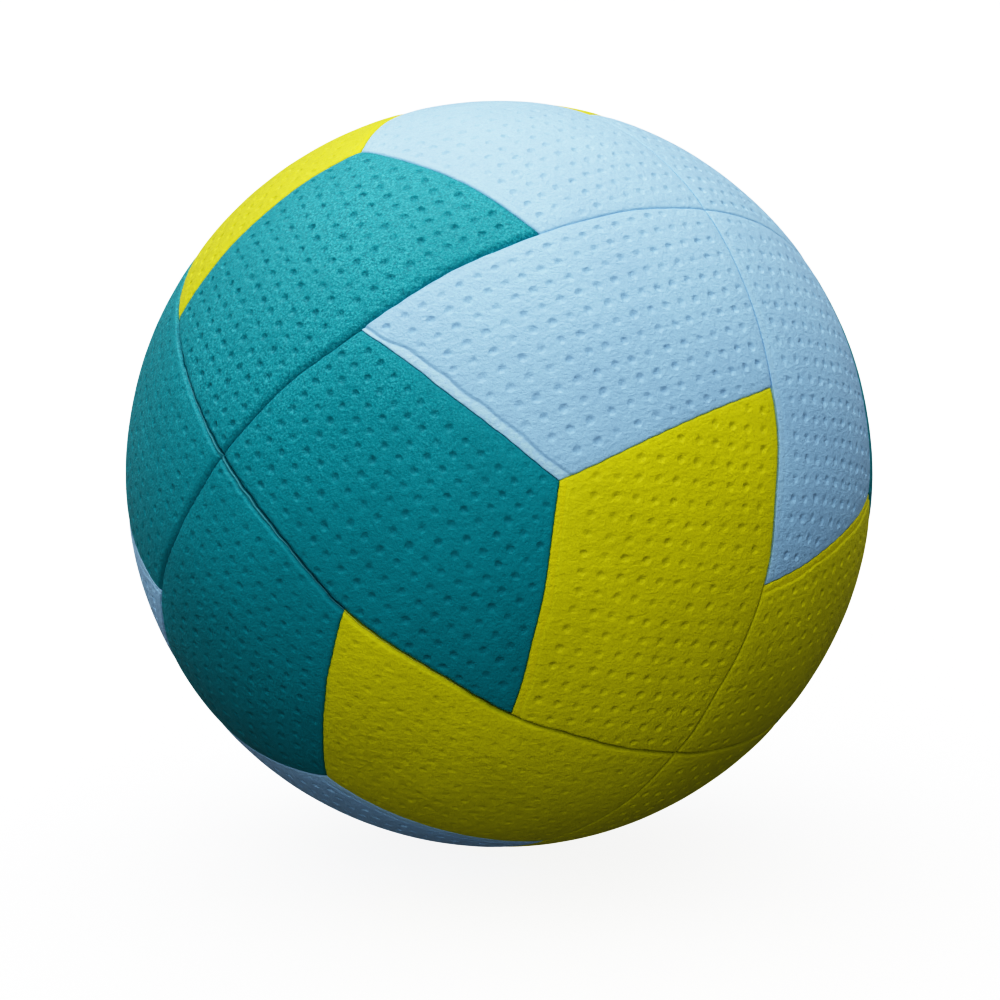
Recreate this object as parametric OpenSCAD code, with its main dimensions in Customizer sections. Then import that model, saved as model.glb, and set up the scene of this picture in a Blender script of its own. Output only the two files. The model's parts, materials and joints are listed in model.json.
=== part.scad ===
// Small handball of size class 0, standing free.
// Twenty-four foam-backed cover panels are glued on a moulded rubber carcass, over a thread winding
// and a rubber bladder with a needle valve. The origin is the ball's centre and +Z is up as it lies.

/* [Ball] */
// Outer diameter of the inflated ball
ball_d = 150; // [140:1:190]
// Angle from a pole to the seam that ends on a panel's short side
short_arc = 30; // [24:1:36]

/* [How it lies] */
// Turn of the three seam circles about X, first
x_lie_angle = -39.5; // [-180:0.1:180]
// Turn about Y, second
y_lie_angle = -9.6; // [-90:0.1:90]
// Turn about Z, third
z_lie_angle = -135.9; // [-180:0.1:180]

/* [Cover panels] */
// Thickness of a panel with its foam backing
panel_t = 2.8; // [2:0.1:3.6]
// Clearance between the sides of two neighbouring panels
seam_gap = 0.1; // [0.05:0.05:0.3]
// Radius of the teal panels' rolled edges along the seam circles
teal_roll_r = 1.8; // [1.4:0.1:2.2]
// Radius of the yellow panels' rolled edges along the seam circles
yellow_roll_r = 1; // [0.8:0.1:1.4]
// Radius of the light blue panels' rolled edges along the seam circles
light_blue_roll_r = 0.6; // [0.5:0.1:1]
// Radius of every panel's rolled edges along the short seams
short_roll_r = 0.6; // [0.5:0.1:1]
// Share of the roll's radius that lies between a panel's side and the roll's centre
roll_reach_share = 0.88; // [0.8:0.02:0.94]
// Share of the roll's radius by which the roll would stand out of the ball
roll_crest_share = 0.03; // [0.02:0.01:0.06]

/* [Under the cover] */
// Clearance between two layers, which the glue fills
glue_gap = 0.1; // [0.05:0.05:0.2]
// Thickness of the moulded rubber carcass
carcass_t = 1; // [0.6:0.1:1.6]
// Thickness of the thread winding
winding_t = 0.6; // [0.4:0.1:1]
// Wall of the bladder
bladder_t = 0.8; // [0.5:0.1:1.2]

/* [Valve] */
// Diameter of the valve's hole through the cover and the layers under it
valve_hole_d = 9; // [8:0.5:12]
// Clearance around the valve's neck in that hole
neck_gap = 0.15; // [0.1:0.05:0.3]
// Depth of the neck's rim under the ball's surface
rim_sink = 0.5; // [0.2:0.1:1]
// Bevel at the mouth of the hole in the cover
mouth_bevel = 0.6; // [0.3:0.1:1]
// Diameter of the flange that is glued inside the bladder
flange_d = 26; // [20:1:34]
// Thickness of the flange
flange_t = 1.2; // [0.8:0.1:2]
// Length of the valve's housing from its rim to its inner end
housing_l = 20; // [16:0.5:24]
// Outer diameter of the housing inside the bladder
sleeve_d = 8; // [7:0.5:8]
// Diameter of the valve core's head
head_d = 6.4; // [6:0.1:6.6]
// Thickness of the head
head_t = 1.6; // [1:0.1:2.2]
// Diameter of the core's stem
stem_d = 4.6; // [4:0.1:5]
// Clearance between the core and its housing
core_gap = 0.05; // [0.05:0.01:0.15]
// Diameter of the bulb that keeps the core in its housing
bulb_d = 6; // [5.4:0.1:6.4]
// Height of the bulb under the housing's inner end
bulb_h = 3; // [2:0.5:4]
// Diameter of the needle's hole
needle_d = 2; // [1.6:0.1:2.4]
// Depth of the needle's hole
needle_depth = 14; // [10:0.5:16]

/* [Hidden] */
$fn = 96;
// Overrun of cuts past a surface
over = 1;

ball_r = ball_d / 2;
cover_in_r = ball_r - panel_t;
carcass_r = cover_in_r - glue_gap;
carcass_in_r = carcass_r - carcass_t;
winding_r = carcass_in_r - glue_gap;
winding_in_r = winding_r - winding_t;
bladder_r = winding_in_r - glue_gap;
bladder_in_r = bladder_r - bladder_t;

// The three seam circles lie in the planes of X, Y and Z, and cross at six poles. Inside each octant three
// short seams run from its middle to its three sides. A panel's corners are a pole, a short seam's end on its
// short side, the octant's middle, and a short seam's end on its long side.
pole = [1, 0, 0];
short_end = [cos(short_arc), 0, sin(short_arc)];
octant_mid = unit([1, 1, 1]);
long_end = [sin(short_arc), cos(short_arc), 0];
panel_mid = unit(pole + short_end + octant_mid + long_end);
// The poles' three colours and names, each on two poles of four panels
COLOURS = ["teal", "yellow", "light_blue"];
TINTS = [[0.02, 0.45, 0.5], [0.68, 0.68, 0.05], [0.6, 0.76, 0.88]];
CIRCLE_ROLLS = [teal_roll_r, yellow_roll_r, light_blue_roll_r];
QUARTERS = 4;
// The panel with the valve: its colour, its pole's side and its quarter
VALVE_AT = [2, 1, 3];
PANELS = [for (colour = [0:2], side = [0:1], quarter = [0:QUARTERS - 1]) [colour, side, quarter]];
PANEL_NAMES = [for (p = PANELS) str(COLOURS[p[0]], "_panel_", p[1] * QUARTERS + p[2] + 1)];
INNER_NAMES = ["carcass", "winding", "bladder", "valve_housing", "valve_core"];

function unit(v) = v / norm(v);
// The normal of the great circle through a and b, on the side of c
function side_normal(a, b, c) =
    let (n = unit(cross(a, b))) n * c > 0 ? n : -n;

// Turns +Z to the direction d, and +X away from the direction m
module aim(d, m) {
    y = unit(cross(m, d));
    x = cross(y, d);
    multmatrix([[x[0], y[0], d[0]], [x[1], y[1], d[1]], [x[2], y[2], d[2]]]) children();
}

// Puts the panel drawn at the X pole in its place on the lying ball
module place(at) {
    rotate([x_lie_angle, y_lie_angle, z_lie_angle])
        rotate(a = 120 * at[0], v = [1, 1, 1])
            rotate([0, 0, 180 * at[1]])
                rotate([90 * at[2], 0, 0])
                    children();
}

// Stands +Z on the valve's axis, with the origin at the ball's centre
module at_valve() {
    place(VALVE_AT) aim(panel_mid, pole) children();
}

cut_r = ball_r + over;

// All that lies past one side of a panel, and the corner that its edge, rolled to a radius r, leaves free
module side_cut(r) {
    reach = r * roll_reach_share;
    mid_z = seam_gap / 2 + reach;
    mid_x = sqrt(pow(ball_r - r * (1 - roll_crest_share), 2) - mid_z * mid_z);
    mid = [mid_x, mid_z];
    rotate_extrude() {
        translate([0, -cut_r]) square([cut_r, cut_r + seam_gap / 2]);
        difference() {
            polygon([mid, [mid_x, -reach], [cut_r, -reach], mid * cut_r / norm(mid)]);
            translate(mid) circle(r = r);
        }
    }
}

// A spherical shell
module shell(r_out, r_in) {
    difference() {
        sphere(r = r_out);
        sphere(r = r_in);
    }
}

// One panel of a colour at the X pole, cut from the shell along its seams, one after another up to the last
// side given
module panel_blank(colour, side = 3) {
    corners = [pole, short_end, octant_mid, long_end];
    rolls = [CIRCLE_ROLLS[colour], short_roll_r, short_roll_r, CIRCLE_ROLLS[colour]];
    if (side < 0)
        rotate([0, 0, 180]) shell(ball_r, cover_in_r);
    else
        difference() {
            panel_blank(colour, side - 1);
            aim(side_normal(corners[side], corners[(side + 1) % 4], panel_mid), panel_mid)
                side_cut(rolls[side]);
        }
}

// The valve's hole in the cover, with its bevelled mouth
module mouth_cut() {
    hole_r = valve_hole_d / 2;
    cylinder(r = hole_r, h = cut_r);
    translate([0, 0, ball_r - mouth_bevel])
        cylinder(r1 = hole_r, r2 = hole_r + mouth_bevel + over, h = mouth_bevel + over);
}

module cover_panel(at) {
    color(TINTS[at[0]])
        if (at == VALVE_AT)
            difference() {
                place(at) panel_blank(at[0]);
                at_valve() mouth_cut();
            }
        else
            place(at) panel_blank(at[0]);
}

// A closed layer with the valve's hole in it
module layer(r_out, r_in) {
    difference() {
        shell(r_out, r_in);
        at_valve() cylinder(d = valve_hole_d, h = cut_r);
    }
}

module carcass() {
    color([0.12, 0.12, 0.12]) layer(carcass_r, carcass_in_r);
}

module winding() {
    color([0.85, 0.83, 0.76]) layer(winding_r, winding_in_r);
}

module bladder() {
    color([0.16, 0.15, 0.15]) layer(bladder_r, bladder_in_r);
}

rim_z = ball_r - rim_sink;
housing_z = rim_z - housing_l;
neck_r = valve_hole_d / 2 - neck_gap;
flange_r = bladder_in_r - glue_gap;
neck_z = flange_r - flange_t;

// The flange fits the bladder's inside, the neck fills the hole, and the sleeve holds the core
module valve_housing() {
    color([0.1, 0.1, 0.1])
        at_valve()
            difference() {
                union() {
                    intersection() {
                        shell(flange_r, flange_r - flange_t);
                        cylinder(d = flange_d, h = cut_r);
                    }
                    translate([0, 0, neck_z]) cylinder(r = neck_r, h = rim_z - neck_z);
                    translate([0, 0, housing_z]) cylinder(d = sleeve_d, h = rim_z - housing_z - panel_t);
                }
                translate([0, 0, housing_z - over])
                    cylinder(r = stem_d / 2 + core_gap, h = housing_l + 2 * over);
                translate([0, 0, rim_z - head_t - core_gap])
                    cylinder(r = head_d / 2 + core_gap, h = head_t + core_gap + over);
            }
}

// The core: a mushroom head flush with the rim, a stem, and a bulb under the sleeve
module valve_core() {
    bulb_z = housing_z - core_gap - bulb_h;
    color([0.2, 0.2, 0.2])
        at_valve()
            difference() {
                union() {
                    translate([0, 0, rim_z - head_t]) cylinder(d = head_d, h = head_t);
                    translate([0, 0, bulb_z]) cylinder(d = stem_d, h = rim_z - bulb_z - head_t);
                    translate([0, 0, bulb_z]) cylinder(d1 = stem_d, d2 = bulb_d, h = bulb_h);
                }
                translate([0, 0, rim_z - needle_depth]) cylinder(d = needle_d, h = needle_depth + over);
            }
}

for (i = [0:len(PANELS) - 1])
    cover_panel(PANELS[i]);
carcass();
winding();
bladder();
valve_housing();
valve_core();
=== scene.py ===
"""A handball dressed for rendering: dimpled cover panels over the packed model, finishes and a studio."""

import json
import math

import bpy
import numpy as np
from bpy.props import FloatProperty, FloatVectorProperty, IntProperty, PointerProperty
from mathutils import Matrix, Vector


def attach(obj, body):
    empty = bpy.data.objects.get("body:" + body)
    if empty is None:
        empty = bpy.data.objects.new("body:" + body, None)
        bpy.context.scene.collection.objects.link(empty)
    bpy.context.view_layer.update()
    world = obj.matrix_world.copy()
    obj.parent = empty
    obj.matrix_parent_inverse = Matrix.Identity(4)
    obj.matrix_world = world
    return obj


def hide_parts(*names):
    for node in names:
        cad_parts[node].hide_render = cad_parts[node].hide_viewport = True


bl_info = {
    "name": "Handball",
    "version": (1, 0, 0),
    "blender": (4, 5, 0),
    "location": "3D View > Sidebar > Handball",
    "description": "Dimpled cover panels, inner layers and a studio for a handball",
    "category": "Add Mesh",
}

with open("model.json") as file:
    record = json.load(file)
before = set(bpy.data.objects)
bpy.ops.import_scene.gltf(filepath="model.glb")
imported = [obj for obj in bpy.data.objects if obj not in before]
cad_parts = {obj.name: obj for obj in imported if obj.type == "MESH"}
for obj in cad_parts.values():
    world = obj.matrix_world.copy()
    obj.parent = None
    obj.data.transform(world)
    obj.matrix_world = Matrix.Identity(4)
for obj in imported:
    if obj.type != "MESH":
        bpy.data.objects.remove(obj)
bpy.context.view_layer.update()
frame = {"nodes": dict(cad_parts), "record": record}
MM = 0.001


def unit(rays):
    """Each ray divided by its own length."""
    return rays / np.linalg.norm(rays, axis=-1, keepdims=True)


def mount(name):
    """The record's mount of that name."""
    return next(m for m in frame["record"]["mounts"] if m["name"] == name)


def node_points(name):
    """A CAD node's vertices, one row each."""
    mesh = frame["nodes"][name].data
    points = np.empty(len(mesh.vertices) * 3)
    mesh.vertices.foreach_get("co", points)
    return points.reshape(-1, 3)


BALL_RADIUS = float(np.linalg.norm(mount("rest_point")["pos_m"]))
VALVE_AXIS = unit(np.array(mount("needle_hole")["axis"]))
COLOURS = ("teal", "yellow", "light_blue")
INNER_RADIUS = float(np.linalg.norm(node_points("teal_panel_1"), axis=1).min())


def size(name, description, millimetres):
    """A property that holds a size, with its default in millimetres."""
    return FloatProperty(name=name, description=description, default=millimetres * MM, unit="LENGTH")


def angle(name, description, degrees):
    """A property that holds an angle, with its default in degrees."""
    turned = math.radians(degrees)
    return FloatProperty(name=name, description=description, default=turned, unit="ROTATION")


def strength(name, description, default):
    """A property that holds the strength of a light."""
    return FloatProperty(name=name, description=description, default=default)


def paint(name, description, default):
    """A property that holds a colour."""
    return FloatVectorProperty(name=name, description=description, default=default, subtype="COLOR")


class CoverLayout(bpy.types.PropertyGroup):
    """Where the seams of the cover run."""

    short_arc: angle("Short arc", "Angle from a pole to the seam that ends on a panel's short side", 30)
    lie: FloatVectorProperty(
        name="Lie",
        description="Turns about X, Y and Z, in that order, that lay the ball as it stands",
        default=[math.radians(turn) for turn in (-39.5, -9.6, -135.9)],
        subtype="EULER",
        unit="ROTATION",
    )
    seam_gap: size("Seam gap", "Clearance between two neighbouring panels", 0.04)
    wander: size("Wander", "How far a seam strays from its true line", 0.16)
    pucker: size("Pucker", "How far a seam's small puckers stray from its line", 0.05)


class CoverRelief(bpy.types.PropertyGroup):
    """The shape of the panels' faces and edges."""

    teal_roll: size("Teal roll", "Radius of the teal panels' rolled edges along the seam circles", 1.8)
    yellow_roll: size("Yellow roll", "Radius of the yellow panels' rolled edges along the seam circles", 1.3)
    light_blue_roll: size(
        "Light blue roll", "Radius of the light blue panels' rolled edges along the seam circles", 0.6
    )
    short_roll: size("Short seam roll", "Radius of every panel's rolled edges along the short seams", 0.5)
    lip_width: size("Lip width", "Width of the smooth lip that is pressed along some edges", 1.85)
    lip_dip: size("Lip dip", "Depth of the crease between a lip and the panel's face", 0.27)
    bead_width: size("Bead width", "Width of the bead squeezed out of the last seam, where it is widest", 0.8)
    bead_height: size("Bead height", "Height of that bead over the bottom of its groove", 0.42)
    sink: size("Edge sink", "How far the leather sinks towards every edge", 0.24)
    swell: size("Swell", "Height of the cover's slow unevenness", 0.035)
    mesh_step: size("Mesh step", "Distance between two mesh lines on a panel's face", 0.34)


class DimpleSizes(bpy.types.PropertyGroup):
    """The pattern of small dimples pressed into every panel."""

    pitch: size("Pitch", "Distance between two dimples of a row, and between two rows", 3.9)
    row_turn: angle(
        "Row turn", "Clockwise angle from the short seam that ends on the short side to the rows", 4
    )
    radius: size("Radius", "Radius of a dimple at its mouth", 0.9)
    depth: size("Depth", "Depth of a full dimple", 0.26)
    crispness: size("Crispness", "Extra depth that the finish gives to a dimple's rim", 0.13)
    margin: size("Margin", "Distance from an edge at which the dimples have their full depth", 2.4)
    seed: IntProperty(
        name="Seed",
        description="Start of the small differences between dimples and between panels",
        default=7,
    )


class CoverColours(bpy.types.PropertyGroup):
    """The colours of the leather and of its foam backing."""

    teal: paint("Teal", "Teal leather", (0.007, 0.36, 0.421))
    yellow: paint("Yellow", "Yellow leather", (0.765, 0.752, 0.01))
    light_blue: paint("Light blue", "Light blue leather", (0.452, 0.715, 0.985))
    foam: paint("Foam", "Foam backing under the leather", (0.62, 0.6, 0.54))
    lip_tint: FloatVectorProperty(
        name="Lip tint",
        description="How much lighter the pressed lips are than the leather beside them",
        default=(1.2, 1.14, 1.1),
    )
    skin: size("Skin", "Thickness of the leather over its foam backing", 1.0)


class StudioLook(bpy.types.PropertyGroup):
    """The camera and the light."""

    distance: size("Distance", "From the camera to the ball's centre", 991.5)
    elevation: angle("Elevation", "Angle of the camera above the horizon", 10)
    lens: FloatProperty(name="Lens", description="Focal length in millimetres", default=177.2)
    shift: FloatVectorProperty(
        name="Shift",
        description="Shift of the picture, as a share of its width",
        size=2,
        default=(0.0009, -0.026),
    )
    ceiling: strength("Ceiling", "Strength of the wide soft light overhead", 1.3)
    ground: strength("Ground", "Strength of the room's light from below", 0.09)
    front: strength("Front", "Strength of the fill light from the front", 0.85)
    left: strength("Left", "Strength of the weak fill light from the lower left", 0.12)
    softbox: strength("Softbox", "Strength of the lamp that the leather mirrors", 2.25)
    horizon: strength("Horizon", "Strength of the pale room that the ball's rim mirrors", 0.15)
    backdrop: strength("Backdrop", "Brightness of the room as the camera sees it", 1.1)
    floor: paint("Floor", "Colour of the floor", (0.3, 0.3, 0.3))


GROUPS = {
    "handball_layout": CoverLayout,
    "handball_relief": CoverRelief,
    "handball_dimples": DimpleSizes,
    "handball_colours": CoverColours,
    "handball_studio": StudioLook,
}


def turn(axis, angle):
    """The matrix that turns by an angle about an axis: the identity, plus the sine times the
    cross matrix, plus one less the cosine times its square."""
    x, y, z = unit(np.array(axis, float))
    cross = np.array([[0, -z, y], [z, 0, -x], [-y, x, 0]])
    return np.eye(3) + math.sin(angle) * cross + (1 - math.cos(angle)) * cross @ cross


def laying(layout):
    """The turn that lays the ball as it stands in the photo."""
    lie_x, lie_y, lie_z = layout.lie
    return turn((0, 0, 1), lie_z) @ turn((0, 1, 0), lie_y) @ turn((1, 0, 0), lie_x)


def placing(colour, side, quarter):
    """The turn that carries the panel drawn at the +X pole to its place before the ball is laid."""
    to_pole = turn((1, 1, 1), 2 * math.pi / 3 * colour) @ turn((0, 0, 1), math.pi * side)
    return to_pole @ turn((1, 0, 0), math.pi / 2 * quarter)


def smooth(value, low, high):
    """A smooth step: 0 up to low, 1 from high on, and 3t squared less 2t cubed between them."""
    t = np.clip((value - low) / (high - low), 0, 1)
    return t * t * (3 - 2 * t)


def graded(length, first, last, widest, growth=1.06):
    """Shares from 0 to 1 along a length. The steps grow by one factor a step from the first and
    from the last one, up to widest, and keep that in between."""
    rise = [
        finest * growth ** np.arange(math.ceil(math.log(widest / finest) / math.log(growth)))
        for finest in (first, last)
    ]
    count = max(1, round((length - rise[0].sum() - rise[1].sum()) / widest))
    steps = np.concatenate([rise[0], np.full(count, widest), rise[1][::-1]])
    places = np.concatenate([[0], np.cumsum(steps)])
    return places / places[-1]


class Blank:
    """A cover panel at the +X pole: its corners, sides, and the directions on its face."""

    def __init__(self, layout, row_turn):
        sine, cosine = math.sin(layout.short_arc), math.cos(layout.short_arc)
        self.corners = np.array([[1, 0, 0], [cosine, 0, sine], [3**-0.5] * 3, [sine, cosine, 0]])
        following = np.roll(self.corners, -1, axis=0)
        self.middle = unit(self.corners.sum(axis=0))
        across = unit(np.cross(self.corners, following))
        self.inward = across * np.sign(across @ self.middle)[:, None]
        meeting = (self.corners * following).sum(axis=1, keepdims=True)
        self.along = unit(following - meeting * self.corners)
        self.arcs = np.arccos(meeting[:, 0])
        row = self.corners[2] - self.corners[1]
        self.row = turn(self.middle, -row_turn) @ unit(row - (row @ self.middle) * self.middle)
        self.column = np.cross(self.middle, self.row)
        self.inset = 1 - layout.seam_gap / 2 / (BALL_RADIUS * (self.inward @ self.middle)).min()

    def rays(self, across, down):
        """Directions at shares across and down the face. In the plane that touches the ball at
        the panel's middle the sides are straight, so the face is the mix of its corners there."""
        flat = self.corners / (self.corners @ self.middle)[:, None]
        flat = self.middle + (flat - self.middle) * self.inset
        s, t = across[..., None], down[..., None]
        near = flat[0] * (1 - s) + flat[1] * s
        far = flat[3] * (1 - s) + flat[2] * s
        return unit(near * (1 - t) + far * t)

    def edges(self, rays):
        """For each ray and side, the distance from the side and the share along it."""
        depth = BALL_RADIUS * np.arcsin(np.clip(rays @ self.inward.T, -1, 1))
        share = np.arctan2(rays @ self.along.T, rays @ self.corners.T) / self.arcs
        return depth, np.clip(share, 0, 1)

    def sheet(self, rays):
        """Places on the flat sheet that the panel was cut from: each point keeps its distance and
        its bearing from the panel's middle."""
        x, y = rays @ self.row, rays @ self.column
        level = np.maximum(np.hypot(x, y), 1e-12)
        reach = BALL_RADIUS * np.arctan2(level, rays @ self.middle)
        return np.stack([x * reach / level, y * reach / level], axis=-1)

    def from_sheet(self, places):
        """Directions of places on the flat sheet, the other way round."""
        reach = np.maximum(np.linalg.norm(places, axis=-1, keepdims=True), 1e-12)
        level = places[..., :1] * self.row + places[..., 1:] * self.column
        angle = reach / BALL_RADIUS
        return self.middle * np.cos(angle) + level / reach * np.sin(angle)


# Share of its roll that a panel has on the negative and on the positive side of each seam circle. The
# circles lie across the X, Y and Z axes of the ball before it is laid, and the last one is glued last.
ROLL_SHARES = np.array([[0.35, 1.0], [1.0, 0.5], [0.4, 0.9]])
LAST_CIRCLE = 2
# How strongly a lip shows on the sides pole to short seam, short seam to octant's middle, on to the long
# side, and back: for each colour, and for the panels whose lips differ from that
LIPS = {
    "teal": (0, 0.08, 0.1, 0),
    "yellow": (0, 0.6, 0.15, 0.1),
    "light_blue": (0, 0.25, 0.5, 0.1),
    "light_blue_panel_1": (0, 0.07, 1, 0),
    "light_blue_panel_2": (0, 0.1, 0.08, 0.22),
    "light_blue_panel_4": (0, 0.12, 0.1, 0),
    "yellow_panel_1": (0, 0.6, 0.1, 0.05),
    "yellow_panel_2": (0, 0.05, 0.05, 0),
}
# How deep a colour's dimples are pressed, and those of the panels that differ from that
PRESSED = {
    "teal": 1.0,
    "teal_panel_2": 1.2,
    "teal_panel_3": 0.64,
    "teal_panel_4": 0.66,
    "yellow": 0.92,
    "yellow_panel_2": 0.45,
    "yellow_panel_4": 0.72,
    "light_blue": 1.08,
    "light_blue_panel_2": 0.95,
    "light_blue_panel_4": 0.9,
}
# Degrees round the last circle from a teal pole, the share of its width that the bead has there, and how
# far the seam gapes
LAST_SEAM = (
    (-180, 0.3, 0),
    (-140, 0.8, 0),
    (-110, 0.2, 0),
    (-90, 0, 0.5),
    (-24, 0, 0.5),
    (-16, 0.2, 0.2),
    (-7, 0.3, 0),
    (-3, 0.75, 0),
    (2, 0.85, 0),
    (11, 0.8, 0),
    (17, 0.4, 0),
    (18, 0.2, 0),
    (19, 0.4, 0),
    (26, 0.2, 0.2),
    (28, 0.3, 0.3),
    (50, 0.2, 0.4),
    (56, 0, 1),
    (105, 0, 1),
    (140, 0.7, 0),
    (180, 0.3, 0),
)
# Where glued seams ended up off their true lines, as read off the photo: degrees to the right and
# up from the front, and the millimetres by which the seam there lies to the right and up
PULLS = (
    (10, 10, -1.2, -1.3),
    (-24, 32, -0.1, -1.6),
    (-6, 21, -1.1, -1.5),
    (3, -27, -1.0, -0.7),
    (7, -5, -0.5, 0.0),
    (-23, -9, -0.9, -1.7),
    (-11, -18, -0.6, -0.9),
    (-29, -25, -0.7, -0.1),
    (9, 48, -0.6, -0.6),
    (-11, 58, 0.1, -0.8),
    (-9, 41, 0.1, -0.4),
    (47, 20, 0.6, -0.5),
    (45, 8, 0.9, -0.1),
    (42, -9, 1.7, -0.2),
    (26, 15, 0.0, 0.0),
    (-64, -13, -2.0, -0.8),
    (-46, 10, 0.0, 0.0),
    (26, -36, 0.0, 0.0),
)
PULL_REACH = 14 * MM
# Sides of the table of chance numbers that a panel's dimples draw from
TABLE_SIDE = 64


class CoverPanel:
    """One cover panel: its blank, its place on the ball, and its own edges."""

    def __init__(self, props, colour, at):
        number, relief = COLOURS.index(colour), props.handball_relief
        self.name, self.props = f"{colour}_panel_{at + 1}", props
        self.blank = Blank(props.handball_layout, props.handball_dimples.row_turn)
        self.turned = placing(number, at // 4, at % 4)
        self.place = laying(props.handball_layout) @ self.turned
        chance = np.random.default_rng([props.handball_dimples.seed, number, at])
        facing = self.blank.inward @ self.turned.T
        circle = np.abs(facing).argmax(axis=1)
        positive = facing[np.arange(4), circle] > 0
        roll = getattr(relief, colour + "_roll") * ROLL_SHARES[circle, positive.astype(int)]
        on_circle = np.array([True, False, False, True])
        self.rolls = np.where(on_circle, roll, relief.short_roll)
        self.last = on_circle & (circle == LAST_CIRCLE)
        self.beaded = self.last & ~positive
        self.lip_waves, self.lip_phases = chance.uniform(20, 34, 4), chance.uniform(0, 6.28, 4)
        self.table = chance.random((TABLE_SIDE, TABLE_SIDE, 4))
        self.origin = chance.uniform(-0.5, 0.5, 2)
        self.pressed = PRESSED.get(self.name, PRESSED[colour])
        if self.name in LIPS:
            self.lips = np.array(LIPS[self.name])
        else:
            self.lips = LIPS[colour] * chance.uniform(0.3, 1.2, 4)

    def lip_widths(self, share):
        """The lips' widths at shares along the sides: they wave a little, and the third side's lip
        narrows to its end."""
        wave = np.sin(share * self.lip_waves + self.lip_phases)
        width = np.full(share.shape, 0.85)
        width[..., 2] = 0.3 + 0.7 * smooth(1 - share[..., 2], 0.02, 0.3)
        return self.props.handball_relief.lip_width * (width + 0.07 * wave)

    def last_seam(self, rays):
        """The bead's width beside each side and how far the side gapes, read off round the last
        circle."""
        x, y, _ = np.moveaxis(rays @ self.turned.T, -1, 0)
        degrees = np.degrees(np.arctan2(y, x))[..., None]
        places, beads, gapes = np.transpose(LAST_SEAM)
        bead = np.interp(degrees, places, beads) * self.beaded
        gape = np.interp(degrees, places, gapes) * self.last
        return bead * self.props.handball_relief.bead_width, gape


def bell(distance, width):
    """A bell curve: the exponential of minus the square of the distance over the width."""
    return np.exp(-((distance / width) ** 2))


# Share of its radius that a roll reaches in from a panel's side, as on the solids
ROLL_REACH = 0.88
# How much of its roll an edge loses where a lip is pressed into it
LIP_FLATTENING = 0.7
# Distance over which the face rises from a lip's crease
LIP_RISE = 0.62 * MM
# Size and place of the thin ridges along the bead's two edges
RIDGE = 0.1 * MM
# The groove beside the bead: its depth and half its width, and how far it lies from the bead
GROOVE, GROOVE_PLACE = 0.34 * MM, 0.15 * MM
# The groove where the seam gapes: its depth and half its width, and how much darker its painted shade is than
# a crease's
GAPE_DEPTH, GAPE_WIDTH, GAPE_SHADE = 0.5 * MM, 0.4 * MM, 3.3
# Distance from an edge at which the sink beside it is down to about a third
SINK_REACH = 1.1 * MM
# Half the width of the painted shade in a lip's crease and along a seam, and where the seam gapes
SHADE_WIDTH, GAPE_SHADE_WIDTH = 0.32 * MM, 0.42 * MM
# Between which places past its crease a lip's colour fades, and where the crease's painted shade is darkest
LIP_FADE, CREASE_PLACE = (-0.12 * MM, 0.06 * MM), 0.1 * MM
# Width that is put for the bead's where there is none
NO_BEAD = 0.01 * MM


def edge_relief(panel, rays):
    """How far the edges take the surface inwards, and the masks of lips, of the painted shade in creases and
    along seams, and of the bead's ridges, which get a painted highlight.

    A roll of radius r drops by r - sqrt(r squared - x squared), where x is the part of its reach
    still left to the side, or to the bead beside it. The drops of the four sides join as the fourth
    root of the sum of their fourth powers. A lip curves down to its crease with the square of its
    depth, and the face rises from there in one smooth step. The bead is half an ellipse with a thin
    ridge at both its edges. The sink is e to the minus the distance from the side over its reach."""
    relief = panel.props.handball_relief
    depth, share = panel.blank.edges(rays)
    bead, gape = panel.last_seam(rays)
    rolls = panel.rolls * (1 - LIP_FLATTENING * panel.lips)
    left = np.clip(ROLL_REACH - (depth - bead) / rolls, 0, ROLL_REACH)
    drop = rolls * (1 - np.sqrt(1 - left**2))
    across = np.clip(1 - (2 * depth / np.maximum(bead, NO_BEAD) - 1) ** 2, 0, None)
    rise = relief.bead_height * np.sqrt(bead / relief.bead_width) * np.sqrt(across)
    shown = smooth(bead, 0.1 * relief.bead_width, 0.2 * relief.bead_width)
    # The bead's thin ridges, raised in the shape and lightened with a painted highlight
    lines = np.minimum(bell(depth - RIDGE, RIDGE) + bell(depth - bead + RIDGE, RIDGE), 1) * shown
    groove = GROOVE * bell(depth - bead - GROOVE_PLACE, GROOVE) * shown
    groove = groove + GAPE_DEPTH * bell(depth, GAPE_WIDTH) * gape
    drop = drop + groove - np.minimum(rise, 0.9 * drop) - RIDGE * lines
    drop = (np.maximum(drop, 0) ** 4).sum(axis=-1) ** 0.25
    width = panel.lip_widths(share)
    inside = np.clip(depth / width, 0, 1) ** 2 * (1 - smooth(depth - width, 0, LIP_RISE))
    drop += (relief.lip_dip * panel.lips * inside).sum(axis=-1)
    drop += relief.sink * np.exp(-depth / SINK_REACH).sum(axis=-1)
    lip = (1 - smooth(depth - width, *LIP_FADE)) * panel.lips
    # Mask of the painted shade in a lip's crease and in the groove where the seam gapes
    crease = bell(depth - width - CREASE_PLACE, SHADE_WIDTH) * panel.lips
    crease = crease + GAPE_SHADE * bell(depth, GAPE_SHADE_WIDTH) * gape
    # Mask of the painted shade along the seams, which also makes them rougher
    seam = np.exp(-depth.min(axis=-1) / SHADE_WIDTH)
    return drop, [lip.max(axis=-1), crease.max(axis=-1), seam, lines.max(axis=-1)]


# Range over which a dimple's place varies along the row and across it, as a share of the pitch
DIMPLE_STRAY = 0.09


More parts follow.
